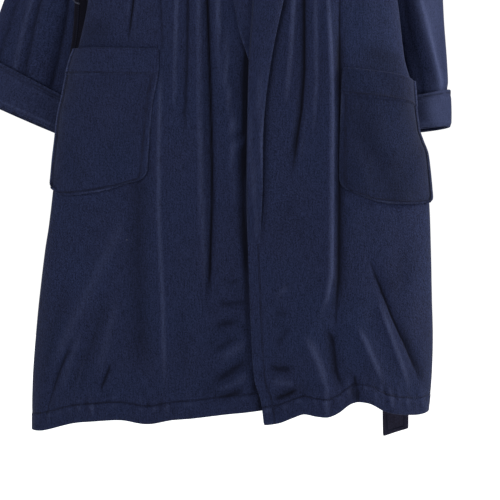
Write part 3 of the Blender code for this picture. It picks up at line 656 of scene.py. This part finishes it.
def make_front(side):
    left = side == "left"
    hem = LEFT_HEM if left else RIGHT_HEM
    shares = graded(-1.13, -0.04, 0.0024, 226)[:, None]
    across = edge_columns(172)[None, :]
    z = -1.13 + 1.07 * shares + 0 * across
    sign = 1 if left else -1
    for _ in range(7):  # the heights depend on x at the hem, and x on the heights
        edge = hermite(LEFT_EDGE if left else RIGHT_EDGE, z)
        start = angle_at(edge, z)
        seam_x = np.where(z > UNDERARM_Z, hermite(ARMHOLE, z) * sign, sign * 9.0)
        end = np.where(z > UNDERARM_Z, angle_at(seam_x, z), 0.0 if left else math.pi)
        angle = start + (end - start) * across
        x, _ = shell(angle, z, True)
        low = hermite(hem, x)
        high = shoulder_line(x) - 0.0006
        z = low + (high - low) * shares
    hem_distance = z - low
    edge_distance = np.abs(x - edge)
    fade = clear_of_seams(angle) * ease((shoulder_line(x) - z) / 0.1)
    height = fold_height(x, z) * fade - lap_sink(side, x)
    turned = 0.0009 * ease((HEM_TURN + 0.001 - hem_distance) / 0.004)
    turned -= 0.0007 * bell((hem_distance - HEM_TURN) / 0.003)
    turned += 0.0011 * ripple(x, z, 0.019, 0.12, 11 if left else 12) * bell((hem_distance - 0.022) / 0.020)
    band = 0.0008 * ease((FACING_STITCH - edge_distance) / 0.004)
    band -= 0.0007 * bell((edge_distance - FACING_STITCH) / 0.003)
    points = raised(angle, z, height + (turned + band) * fade)
    seams = (edge_distance - FACING_STITCH, hem_distance - HEM_TURN)
    thick = CLOTH + 0.0010 * ease((HEM_TURN - hem_distance) / 0.004) + 0 * x
    shade = tone(x, z)
    if left:  # the shadow beside the lapel
        beside = x - hermite(LAPEL, z) - 0.004
        shade -= 0.55 * bell(beside / 0.006) * ease((z + 0.86) / 0.06) * ease((-0.40 - z) / 0.05)
    else:  # the dark gap beside the lap, and the shade around it
        over = hermite(LEFT_EDGE, z)
        gap = ease((-0.47 - z) / 0.08) * (1 - 0.45 * ease((-0.86 - z) / 0.06))
        shade -= 1.6 * bell((x - over + 0.0036) / 0.0044) * gap
        shade -= 0.35 * ease((x - over + 0.026) / 0.022) * ease((-0.48 - z) / 0.06) * ease((z + 0.72) / 0.15)
    piece = cloth(f"front_{side}", points, thick, seams, (x + 0.7, z + 1.3), flip=left, shade=shade)
    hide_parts(f"front_{side}_bodice", f"front_{side}_skirt")
    bend_at_waist(piece)


def bend_at_waist(piece):
    """Bakes the piece's transform into its mesh."""
    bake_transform(piece)


def make_back():
    shares = graded(-1.13, -0.04, 0.0030, 225)[:, None]
    across = np.linspace(0, 1, 190)[None, :]
    z = -1.12 + 1.07 * shares + 0 * across
    for _ in range(7):
        armhole = hermite(ARMHOLE, z)
        start = np.where(z > UNDERARM_Z, angle_at(armhole, z), 0.0)
        end = np.where(z > UNDERARM_Z, angle_at(-armhole, z), math.pi)
        angle = start + (end - start) * across
        x, _ = shell(angle, z, False)
        low = hermite(BACK_HEM, x)
        neck = NECK_SIDE_Z - 0.022 * (1 - np.clip(np.abs(x) / NECK_HALF, 0, 1) ** 2)
        high = np.where(np.abs(x) >= NECK_HALF, shoulder_line(x), neck) - 0.0006
        z = low + (high - low) * shares
    above_hem = z - low - HEM_TURN
    x, y = shell(angle, z, False)
    fade = np.abs(np.sin(angle)) ** 0.7 * ease((shoulder_line(x) - z) / 0.1)
    height = back_fold_height(x, z) * fade + 0.0009 * ease(-above_hem / 0.004)
    piece = cloth("back", np.stack([x, y + height, z], -1), CLOTH, (None, above_hem), (x + 2.0, z + 1.3))
    tell(piece, "robe_body", "back_panel")


def make_facing(side):
    """The strip of cloth folded to the inside along a front's free edge."""
    left = side == "left"
    across = np.linspace(0.0025, FACING_WIDTH, 22)[None, :]
    z = np.linspace(-1.098 if left else -1.093, -0.47, 150)[:, None] + 0 * across
    edge = hermite(LEFT_EDGE if left else RIGHT_EDGE, z)
    x = edge + across if left else edge - across
    angle = angle_at(x, z)
    height = fold_height(x, z) * clear_of_seams(angle) - (CLOTH + 0.0012 + lap_sink(side, x))
    points = raised(angle, z, height)
    piece = cloth(f"facing_{side}", points, 0.0022, (across - 0.060, None), (x + 3.0, z + 1.3), flip=left)
    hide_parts(f"front_facing_{side}")
    bend_at_waist(piece)


# Patch pockets: height and x of the inner side in mm, then the top and the bottom as height by the share of the width
POCKET_SHAPES = {
    "right": {
        "inner": pairs(-800, -131, -732.1, -131.8, -669.1, -128, -621.9, -123.4, -582.4, -116, -542.8, -115.7),
        "top": ((0.0, -0.5428), (1.0, -0.5346)),
        "bottom": ((0.0, -0.75), (0.07, -0.7535), (0.17, -0.7602), (0.42, -0.768), (0.72, -0.7704), (0.88, -0.7665),
                   (1.0, -0.759)),
        "band": 0.0405, "round": (0.022, 0.016), "swell": 0.006,
    },
    "left": {
        "inner": pairs(-800, 170.5, -739.7, 170.5, -652.9, 172.2, -581.5, 175.7, -571.9, 177.5),
        "top": ((0.0, -0.5719), (1.0, -0.5875)),
        "bottom": ((0.0, -0.766), (0.08, -0.7725), (0.23, -0.7818), (0.63, -0.7848), (1.0, -0.78)),
        "band": 0.04, "round": (0.022, 0.014), "swell": 0.008,
    },
}


def pocket_grid(side, rows, lift, columns=86):
    """The pocket at these shares of its height: angle, height, height off the body, and how far it is from its outline
    and from its top, in metres."""
    shape = POCKET_SHAPES[side]
    left = side == "left"
    even = np.linspace(0, 1, columns)[None, :]
    across = 0.5 - 0.5 * np.cos(math.pi * even) * 0.35 - 0.5 * (1 - 2 * even) * 0.65
    across = (across - across.min()) / (across.max() - across.min())
    share = rows[:, None]
    top, bottom = hermite(shape["top"], across), hermite(shape["bottom"], across)
    z = bottom + (top - bottom) * share
    above = z - bottom
    inner_round, outer_round = shape["round"]

    def inset(radius):
        inside = np.maximum(radius**2 - np.maximum(radius - above, 0) ** 2, 0)
        return np.where(above < radius, radius - np.sqrt(inside), 0.0)

    start = hermite(shape["inner"], z) + (1 if left else -1) * inset(inner_round)
    start_angle = angle_at(start, z)
    wrap = 0.10 + inset(outer_round) / 0.09
    end_angle = wrap if left else math.pi - wrap
    angle = start_angle + (end_angle - start_angle) * across
    x = shell(angle, z, True)[0]
    width = 0.15
    outline = np.minimum(np.minimum(across, 1 - across) * width, above)
    swell = shape["swell"] * np.sin(math.pi * across) ** 1.3 * ease(share * 1.3) ** 0.8
    height = 0.75 * fold_height(x, z) * clear_of_seams(angle) + lift + swell
    height = height + 0.0009 * ripple(x, z, 0.07, 0.10, 31 if left else 32) + 0.0040 * ease((across - 0.93) / 0.07)
    return angle, z, height, outline, top - z


# Painted shade on the pockets, deeper on the left one, with a slight random mottle; the bands are a little less shaded
def pocket_shade(side, x, z):
    wave = ripple(x, z, 0.09, 0.16, 33 if side == "left" else 34)
    return 0.08 * wave - (0.32 if side == "left" else 0.06)


def make_pocket(side):
    shape = POCKET_SHAPES[side]
    tall = hermite(shape["top"], 0.5) - hermite(shape["bottom"], 0.5)
    seam = 1 - shape["band"] / tall
    low = 0.030 / tall * (1 - np.cos(np.linspace(0, math.pi / 2, 16)))[:-1]
    rows = np.concatenate([low, np.linspace(0.030 / tall, seam, 60)])
    angle, z, height, outline, _ = pocket_grid(side, rows, 0.0030)
    border = 0.0006 * bell((outline - 0.0008) / 0.0028) - 0.0005 * bell((outline - OUTLINE_STITCH) / 0.0024)
    x = shell(angle, z, True)[0]
    piece = cloth(f"pocket_{side}", raised(angle, z, height + border), CLOTH, (outline - OUTLINE_STITCH, None),
                  (x + 4.0, z + 1.3), flip=side == "left", shade=pocket_shade(side, x, z))
    tell(piece, f"skirt_{side}", f"pocket_{side}")
    rows = np.linspace(seam + 0.0006 / tall, 1.0, 22)
    angle, z, height, _, below = pocket_grid(side, rows, 0.0042)
    x = shell(angle, z, True)[0]
    bottom_line = below - (shape["band"] - 0.0030)
    band = cloth(f"pocket_band_{side}", raised(angle, z, height + 0.0005 * bell(below / 0.0035)), CLOTH + 0.0010,
                 (None, bottom_line), (x + 4.0, z + 1.31), flip=side == "left",
                 shade=pocket_shade(side, x, z) + 0.05)
    tell(band, f"skirt_{side}", f"pocket_band_{side}")


# Fold lines of the sleeves, as (x, y, z) on the wearer's left, at these shares of the way from armhole to mouth
SLEEVE_PLACES = (0.0, 0.15, 0.3, 0.5, 0.75, 1.0)
SLEEVES = {
    "left": {
        "outer": ((0.2355, 0.0, -0.0860), (0.277, 0.006, -0.170), (0.305, 0.022, -0.262), (0.337, 0.052, -0.375),
                  (0.354, 0.080, -0.512), (0.3600, 0.088, -0.6545)),
        "inner": ((0.2405, 0.0, -0.3020), (0.250, 0.020, -0.345), (0.240, 0.052, -0.392), (0.212, 0.092, -0.468),
                  (0.196, 0.120, -0.566), (0.192, 0.132, -0.6680)),
    },
    "right": {
        "outer": ((0.2355, 0.0, -0.0860), (0.274, 0.012, -0.165), (0.300, 0.036, -0.245), (0.335, 0.066, -0.345),
                  (0.3865, 0.092, -0.463), (0.4320, 0.100, -0.6035)),
        "inner": ((0.2405, 0.0, -0.3020), (0.252, 0.016, -0.338), (0.246, 0.044, -0.378), (0.222, 0.072, -0.440),
                  (0.232, 0.088, -0.560), (0.264, 0.096, -0.6760)),
    },
}
SLEEVE_DEPTH = (0.034, 0.036, 0.036, 0.031, 0.030, 0.032)  # half of it


def fold_line(side, fold, share):
    return np.stack([hermite(tuple(zip(SLEEVE_PLACES, c)), share) for c in zip(*SLEEVES[side][fold])], -1)


def armhole_points(turn):
    middle = (SHOULDER_END_Z + UNDERARM_Z) / 2
    z = middle + (SHOULDER_END_Z - UNDERARM_Z) / 2 * np.cos(turn)
    x = hermite(ARMHOLE, z)
    angle = angle_at(x, z)
    y = np.where(np.sin(turn) >= 0, shell(angle, z, True)[1], shell(angle, z, False)[1])
    return np.stack([x, y, z], -1)


def sleeve_points(side, share, turn, folds):
    """Points round the sleeve, at a share of its length and an angle from its outer fold, with its folds' heights."""
    outer, inner = fold_line(side, "outer", share), fold_line(side, "inner", share)
    wide, middle = (outer - inner) / 2, (outer + inner) / 2

    def centre(at):
        return (fold_line(side, "outer", at) + fold_line(side, "inner", at)) / 2

    along = centre(np.minimum(1.0, share + 0.02)) - centre(np.maximum(0.0, share - 0.02))
    deep = np.cross(along, wide)
    deep /= np.linalg.norm(deep, axis=-1, keepdims=True)
    deep *= np.where(deep[..., 1:2] < 0, -1.0, 1.0)
    span = np.linalg.norm(wide, axis=-1, keepdims=True)
    depth = hermite(tuple(zip(SLEEVE_PLACES, SLEEVE_DEPTH)), share)[..., None]
    bump = folds[..., None]
    round_x, round_y = (np.sign(c) * np.abs(c) ** 0.9 for c in (np.cos(turn), np.sin(turn)))
    ring = (middle + wide * (1 + bump * 0.6 / span) * round_x[..., None]
            - deep * (depth + bump) * round_y[..., None])
    start = armhole_points(turn) + np.array([-0.0015, 0, 0])
    blend = ease(share / 0.2)[..., None]
    return start * (1 - blend) + ring * blend


def sleeve_folds(side, share, turn):
    """Creases of a hanging sleeve: long soft drags from the underarm, a pressed ridge, and a tuck above the cuff, with
    painted highlight and painted shade along them.
    """
    seed = 41 if side == "left" else 51
    across = np.cos(turn) * 0.09
    length = share * 0.5
    place = np.cos(turn)
    body = ease(share / 0.15) * ease((0.93 - share) / 0.1)
    out = 0.0035 * body * ripple(across + 0.25 * length, length, 0.13, 0.60, seed)
    out += 0.0012 * body * ripple(across - 0.3 * length, length, 0.06, 0.22, seed + 1)
    out -= 0.003 * bell((share - 0.885) / 0.012)
    front = ease(np.sin(turn) * 1.5)
    # Each crease: its path as (share of the length, place between the folds), rise, and width to either side
    if side == "left":
        lines = ((((0.0, 0.0), (0.3, 0.20), (0.58, 0.44), (0.75, 0.68), (0.90, 0.88), (1.0, 0.92)), 0.011, 0.16, 0.05),
                 (((0.0, -0.3), (0.55, -0.10), (0.85, 0.22), (1.0, 0.28)), -0.013, 0.11, 0.09),
                 (((0.0, -0.1), (0.55, 0.16), (0.85, 0.52), (1.0, 0.60)), -0.003, 0.10, 0.10))
    else:
        lines = ((((0.0, 0.5), (0.45, 0.30), (0.70, 0.24), (1.0, 0.10)), -0.007, 0.05, 0.08),
                 (((0.0, 0.6), (0.45, 0.46), (0.70, 0.42), (1.0, 0.30)), 0.005, 0.10, 0.09),
                 (((0.0, -0.2), (0.50, -0.25), (0.75, -0.30), (1.0, -0.3)), -0.008, 0.09, 0.10),
                 (((0.0, 0.9), (0.45, 0.78), (0.75, 0.74), (1.0, 0.7)), -0.003, 0.08, 0.12))
    shade = np.zeros(out.shape)
    crest = 0.02
    for path, rise, low, high in lines:
        off = place - hermite(path, share)
        width = np.where(off < 0, low, high)
        ridge = np.exp(-(np.sqrt(off**2 + crest**2) - crest) / width)
        out += rise * ridge * front * ease(share / 0.2) * ease((0.94 - share) / 0.12)
        # Painted highlight along each ridge and painted shade along each valley
        shade += (0.22 if rise > 0 else -0.45) * bell(off / 0.045) * front * ease(share / 0.3)
    # Left sleeve: a painted lit side past its ridge, a painted dark gap beside the body, and painted highlight towards
    # the cuff
    if side == "left":
        past = place - hermite(lines[0][0], share)
        shade += (0.95 * ease((past + 0.03) / 0.10) + 0.45 * bell(past / 0.10)) * front
        shade -= 1.15 * ease((hermite(lines[1][0], share) + 0.09 - place) / 0.10) * front
        shade += 0.35 * ease((share - 0.80) / 0.1) * front
    return out, shade


CUFF_LOW = {"left": 0.892, "right": 0.880}  # the share of the sleeve's length where its cuff begins
CUT_LENGTH, CUT_GIRTH = 0.50, 0.42


def make_sleeve(side):
    sign = 1.0 if side == "left" else -1.0
    mirror = np.array([sign, 1.0, 1.0])
    turn = np.linspace(0, 2 * math.pi, 132, endpoint=False)[None, :]
    share = np.concatenate([np.linspace(0, 0.93, 150), np.linspace(0.935, 0.990, 12)])[:, None] + 0 * turn
    turn_all = turn + 0 * share
    folds, shade = sleeve_folds(side, share, turn_all)
    points = sleeve_points(side, share, turn_all, folds) * mirror
    cut = (5.0 + turn_all / (2 * math.pi) * CUT_GIRTH, share * CUT_LENGTH)
    piece = cloth(f"sleeve_{side}", points, CLOTH, (cut[1] - 0.006, None), cut, ring=True, flip=side == "right",
                  shade=shade)
    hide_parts(f"sleeve_{side}")
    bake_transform(piece)
    share = np.linspace(CUFF_LOW[side], 1.0, 36)[:, None] + 0 * turn
    turn_all = turn + 0 * share
    place = (share - CUFF_LOW[side]) / (1.0 - CUFF_LOW[side])
    share = share - 0.008 * place * (1 + np.sin(turn_all))
    roll = 0.0062 + 0.0016 * np.sin(math.pi * np.clip(place, 0, 1)) - 0.0026 * ease((place - 0.9) / 0.1)
    roll = roll - 0.0012 * bell((place - 0.13) / 0.05)
    folds = 0.0014 * ripple(np.cos(turn_all) * 0.1, place * 0.05, 0.06, 0.12, 61 if side == "left" else 62)
    points = sleeve_points(side, share, turn_all, roll + folds) * mirror
    cut = (6.0 + turn_all / (2 * math.pi) * CUT_GIRTH, place * 0.056)
    # Painted highlight on the cuffs, strongest on the lit front of the left one
    shade = 0.14
    if side == "left":
        shade = (0.55 + 0.55 * ease((np.cos(turn_all) - 0.3) / 0.6)) * ease(np.sin(turn_all) * 1.5)
    cuff = cloth(f"cuff_{side}", points, 0.0046, (cut[1] - 0.0030, None), cut, ring=True, flip=side == "right", rim=5,
                 shade=shade)
    tell(cuff, f"arm_{side}", f"cuff_{side}")


# The shawl collar, half by half: the line it rolls over and its free edge, round the back as (x, y, z) and then on the
# front as x and height in mm, on the wearer's left
BACK_ROLL = ((0.0, 0.064, -0.024), (0.045, 0.057, -0.021), (0.084, 0.022, -0.014), (0.095, -0.016, -0.028))
BACK_EDGE = ((0.0, 0.086, -0.106), (0.086, 0.077, -0.105), (0.152, 0.028, -0.070), (0.166, -0.030, -0.086))
COLLARS = {
    "left": (pairs(87, -75, 67, -190, 44, -300, 35.5, -400, 33.5, -480, 28.5, -560, 26.2, -660, 25.2, -760, 27.2,
                   -845),
             pairs(163, -135, 146, -220, 116, -320, 94, -405, 76.5, -478, 59, -565, 48, -662, 46.2, -762, 42.5,
                   -846)),
    "right": (pairs(87, -75, 67, -190, 36, -310, -6, -375, -36, -430, -50, -480, -54, -560),
              pairs(163, -135, 146, -220, 96, -325, 38, -400, 0, -450, -13.3, -508.5, -30, -560)),
}
COLLAR_OUT = 0.0085


def collar_lines(side):
    sign = 1 if side == "left" else -1
    lines = []
    for back, low in zip((BACK_ROLL, BACK_EDGE), COLLARS[side]):
        points = [Vector((sign * x, y, z)) for x, y, z in back]
        for x, z in low:
            out = COLLAR_OUT
            if side == "left":
                out -= COLLAR_OUT * ease((-0.74 - z) / 0.10)
            elif z < -0.39:
                out -= LAP * ease((-0.37 - z) / 0.06)
            x, z = np.array([sign * x]), np.array([z])
            y = shell(angle_at(x, z), z, True)[1] - (out + fold_height(x, z))
            points.append(Vector((x[0], y[0], z[0])))
        lines.append(points)
    return lines


def make_collar(side):
    roll_points, edge_points = collar_lines(side)
    count = len(roll_points)
    steps = np.concatenate([np.linspace(0, 4, 60), np.linspace(4, count - 1, 130)[1:]])
    places = range(count)

    def along(points):
        return np.stack([hermite(tuple(zip(places, [p[i] for p in points])), steps) for i in range(3)], -1)

    roll, edge = along(roll_points), along(edge_points)
    stand = hermite(tuple(zip(places, ([0.026, 0.024, 0.012, 0.005, 0.004] + [0.003] * count)[:count])), steps)
    sign = 1 if side == "left" else -1
    back_share = ease(1 - steps / 3)
    seam = roll + np.stack([-0.25 * stand * np.minimum(1, steps) * sign, -0.007 * back_share, -stand], -1)
    shares = np.concatenate([np.linspace(-1, 0, 8)[:-1], np.linspace(0, 1, 26) ** 0.85])
    grid = np.empty((len(steps), len(shares), 3))
    puff = 0.0075 * ease(1 - steps / 5)[:, None] + 0.0035 * ease((count - 1 - steps) / 1.5)[:, None]
    for k, share in enumerate(shares):
        if share < 0:
            point = roll + (seam - roll) * (-share) ** 1.2
            point[:, 1] += 0.003 * math.sin(math.pi * -share) * back_share
        else:
            point = roll + (edge - roll) * share
        grid[:, k] = point
    share = shares[None, :]
    fall = np.clip(share, 0, 1)
    arch = np.sin(math.pi * fall) ** 0.8 * puff
    outward = grid - np.array([0, 0.0, -0.14])
    outward[..., 2] *= 0.25
    outward /= np.linalg.norm(outward, axis=-1, keepdims=True)
    front = ease((steps - 3) / 1.5)[:, None, None]
    way = outward * (1 - front) + np.array([0.0, -1.0, 0.0]) * front
    grid += way * arch[..., None]
    grid = clear_of_body(grid, 0.0075)
    wave = 0.0010 * ripple(steps[:, None] * 0.05, share * 0.1, 0.09, 0.12, 71 if side == "left" else 72)
    grid += way * (wave * fall)[..., None]
    grid[0, :, 0] = 0.0008 * sign
    piece = cloth(f"collar_{side}", grid, 0.0050, flip=side == "right", rim=5)
    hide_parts(f"collar_{side}")
    bend_at_waist(piece)


def clear_of_body(points, gap):
    """Pushes points that are inside the body, or nearer than the gap, out of it."""
    points = points.copy()
    x, y, z = points[..., 0], points[..., 1], points[..., 2]
    held = np.clip(x, -SHOULDER_HALF, SHOULDER_HALF)
    middle_z = shoulder_line(held) - SHOULDER_ROUND
    upper = z >= middle_z
    level = np.where(upper, middle_z, z)
    front_y = np.abs(shell(angle_at(held, level), level, True)[1])
    back_y = np.abs(shell(angle_at(held, level), level, False)[1])
    reach_y = np.where(y < 0, front_y, back_y) + gap
    share = np.hypot(y / reach_y, (z - middle_z) / (SHOULDER_ROUND + gap))
    push = upper & (share < 1)
    safe = np.maximum(share, 0.2)
    points[..., 1] = np.where(push, y / safe, y)
    points[..., 2] = np.where(push, middle_z + (z - middle_z) / safe, z)
    return points


def make_sash():
    """The sash: its run across the back, and two ends that hang behind the sides."""
    angle = np.linspace(0.035, math.pi - 0.035, 150)[:, None]
    level = np.full(angle.shape, SASH_Z)
    x, y = shell(angle, level, False)
    nx, ny = outward(angle, level, False, 0.01)
    width = np.linspace(-SASH_HALF, SASH_HALF, 16)[None, :]
    sag = 0.004 * np.cos(np.linspace(-1, 1, 150) * math.pi / 2)[:, None]
    out = 0.0082 + 0.0016 * ripple(x, width, 0.12, 0.09, 81) + back_fold_height(x, level)
    points = np.stack([x + nx * out, y + ny * out, SASH_Z + width - sag + 0 * out], -1)
    edge = SASH_HALF - np.abs(width) + 0 * out
    run = cloth("sash_back", points, 0.0042, (edge - 0.0050, None), rim=4, material=SASH_VELOUR)
    tell(run, "robe_body", "belt_back")
    for side, sign in (("left", 1.0), ("right", -1.0)):
        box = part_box(f"belt_end_{side}")
        top, bottom = box[1][2], box[0][2]
        path = pairs(-1170, 89, -1100, 85, -800, 69, -600, 53, -500, 42, -440, 34, -400, 29)
        line = pairs(-1170, 272, -720, 272, -600, 262, -500, 250, -400, 246)
        if side == "right":
            line = pairs(-1170, 272, -720, 270, -600, 257, -500, 240, -400, 235)
        z = np.linspace(bottom + 0.001, top - 0.001, 230)[:, None]
        width = np.linspace(-SASH_END_HALF, SASH_END_HALF, 18)[None, :]
        y = hermite(path, z) + 0.0012 * ripple(z, width, 0.16, 0.08, 82) + 0.0022 * np.sin(z * 21.0 + width * 40)
        y = y - 0.0035 * bell((z + 0.645) / 0.065)  # clear of the cuff when it swings
        x = sign * hermite(line, z) + width * (1 - 0.03 * np.sin(z * 9)) + 0.0010 * np.sin(z * 14)
        slant = 0.006 * (width / SASH_END_HALF) * ease((bottom + 0.05 - z) / 0.05)
        points = np.stack([x + 0 * z, y, z + slant], -1)
        edge = np.minimum(SASH_END_HALF - np.abs(width), z - bottom) + 0 * z
        # The ends' upper parts get painted shade, where they hang in the dark gap beside the body
        end = cloth(f"sash_end_{side}", points, 0.0044, (edge - 0.0052, None), flip=True, rim=4,
                    material=SASH_VELOUR, shade=-0.85 * ease((z + 0.72) / 0.10) + 0 * edge)
        tell(end, f"sash_end_{side}", f"belt_end_{side}")


def dress_trims():
    for name, material in (("belt_loop_left", TAPE), ("belt_loop_right", TAPE), ("hang_loop", TAPE),
                           ("neck_tape", TAPE), ("neck_label", LABEL)):
        for slot in frame["nodes"][name].material_slots:
            slot.material = material


def make_stage():
    """A pale floor that turns to plain white away from the robe, so that it runs into the white surroundings."""
    n = Nodes("studio_white")
    place = n.new("ShaderNodeTexCoord").outputs["Object"]
    n.link(n.mix(n.noise(place, 3.0), (0.78, 0.78, 0.78), (0.84, 0.84, 0.84)), n.shader.inputs["Base Color"])
    n.shader.inputs["Roughness"].default_value = 0.9
    n.shader.inputs["Emission Color"].default_value = (1, 1, 1, 1)
    away = n.new("ShaderNodeVectorMath", operation="LENGTH")
    n.link(place, away.inputs[0])
    n.link(n.span(away.outputs["Value"], 0.6, 2.1, 0.12, 1.05), n.shader.inputs["Emission Strength"])
    bpy.ops.mesh.primitive_circle_add(vertices=96, radius=12.0, fill_type="NGON", location=(0, 0, -1.62))
    floor = bpy.context.object
    floor.name = "studio_floor"
    floor.data.materials.append(n.material)


def lamp(name, place, target, size, power, colour=(1, 1, 1)):
    light = bpy.data.lights.new(name, "AREA")
    light.shape = "RECTANGLE"
    light.size, light.size_y = size
    light.energy = power
    light.color = colour
    obj = bpy.data.objects.new(name, light)
    obj.location = place
    obj.rotation_euler = (Vector(target) - Vector(place)).to_track_quat("-Z", "Y").to_euler()
    bpy.context.scene.collection.objects.link(obj)


def make_lights():
    world = bpy.data.worlds.new("studio")
    bpy.context.scene.world = world
    world.use_nodes = True
    background = world.node_tree.nodes["Background"]
    background.inputs[0].default_value = (1.0, 1.0, 1.0, 1)
    seen = world.node_tree.nodes.new("ShaderNodeLightPath").outputs["Is Camera Ray"]
    strength = world.node_tree.nodes.new("ShaderNodeMapRange")
    world.node_tree.links.new(seen, strength.inputs["Value"])
    strength.inputs["To Min"].default_value = 0.34
    strength.inputs["To Max"].default_value = 1.05
    world.node_tree.links.new(strength.outputs[0], background.inputs[1])
    middle = (0.0, SIDE_Y, -0.8)
    lamp("key", (-1.2, -2.3, 0.9), middle, (0.9, 1.2), 33)
    lamp("fill", (1.7, -1.9, 0.3), middle, (0.9, 1.2), 9)
    lamp("side", (2.0, 0.10, 0.1), (0.3, SIDE_Y, -0.6), (0.5, 1.2), 46)


def make_camera():
    """Level with the middle of the skirt, straight on, close enough to crop the robe above the waist."""
    hem = cad_bounds[0][2]
    above_hem, aside = 0.3036, 0.029
    camera = bpy.data.cameras.new("camera")
    camera.sensor_fit = "HORIZONTAL"
    distance, width = 2.6, 0.808
    camera.angle = 2 * math.atan(width / 2 / distance)
    obj = bpy.data.objects.new("camera", camera)
    obj.location = (aside, SIDE_Y - distance, hem + above_hem)
    obj.rotation_euler = (math.pi / 2, 0, 0)
    bpy.context.scene.collection.objects.link(obj)
    bpy.context.scene.camera = obj


def build():
    make_camera()
    make_stage()
    make_lights()
    make_back()
    for side in ("left", "right"):
        make_front(side)
        make_facing(side)
        make_pocket(side)
        make_sleeve(side)
        make_collar(side)
    make_sash()
    dress_trims()
    bpy.context.scene.view_settings.view_transform = "Standard"


build()
